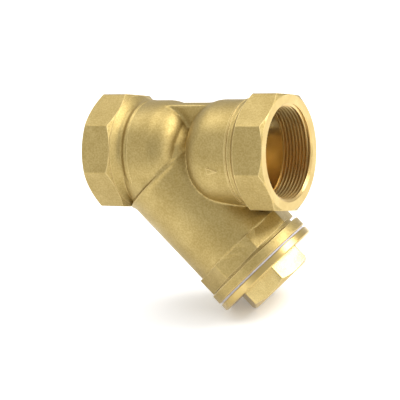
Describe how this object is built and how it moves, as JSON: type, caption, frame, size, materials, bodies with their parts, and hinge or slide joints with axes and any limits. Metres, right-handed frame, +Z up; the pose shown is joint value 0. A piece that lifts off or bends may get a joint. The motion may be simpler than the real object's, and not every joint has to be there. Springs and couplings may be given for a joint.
{
  "type": "y strainer",
  "caption": "Brass Y strainer with female-threaded octagonal pipe ends, a perforated tube screen in its inclined branch, and a screwed hexagon cap on a flat gasket.",
  "frame": {"origin": "centre of the inlet face, on the pipe axis", "axes": "+X is the flow direction along the pipe axis, +Z is up, and the branch leans down towards the outlet in the XZ plane"},
  "size_m": [0.127, 0.0758, 0.1403],
  "materials": {
    "cast_brass": "shot-blasted casting with turned faces",
    "cap_brass": "satin forging, machined",
    "gasket_plastic": "matt, slightly waxy",
    "screen_steel": "perforated stainless sheet"
  },
  "bodies": {
    "body": {"inlet_collar": "cast_brass", "inlet_bend": "cast_brass", "branch_tube": "cast_brass", "branch_end": "cast_brass", "outlet_barrel": "cast_brass", "outlet_collar": "cast_brass"},
    "screen": {"screen_sheet": "screen_steel", "screen_seat_ring": "screen_steel", "screen_foot_ring": "screen_steel"},
    "seal": {"cap_gasket": "gasket_plastic"},
    "cap": {"cap": "cap_brass"}
  },
  "joints": [
    {"name": "screen_draw", "type": "slide", "parent": "body", "child": "screen", "axis": [0.6428, 0, -0.766], "range_m": [0, 0.09]},
    {"name": "cap_travel", "type": "slide", "parent": "screen", "child": "seal", "axis": [0.6428, 0, -0.766], "range_m": [0, 0.01301]},
    {"name": "cap_turn", "type": "hinge", "parent": "seal", "child": "cap", "pos_m": [0.031, 0, 0], "axis": [0.6428, 0, -0.766], "range_deg": [0, 2340]}
  ],
  "couplings": [
    {"joint": "cap_travel", "follows": "cap_turn", "m_per_rad": 0.00031831}
  ]
}
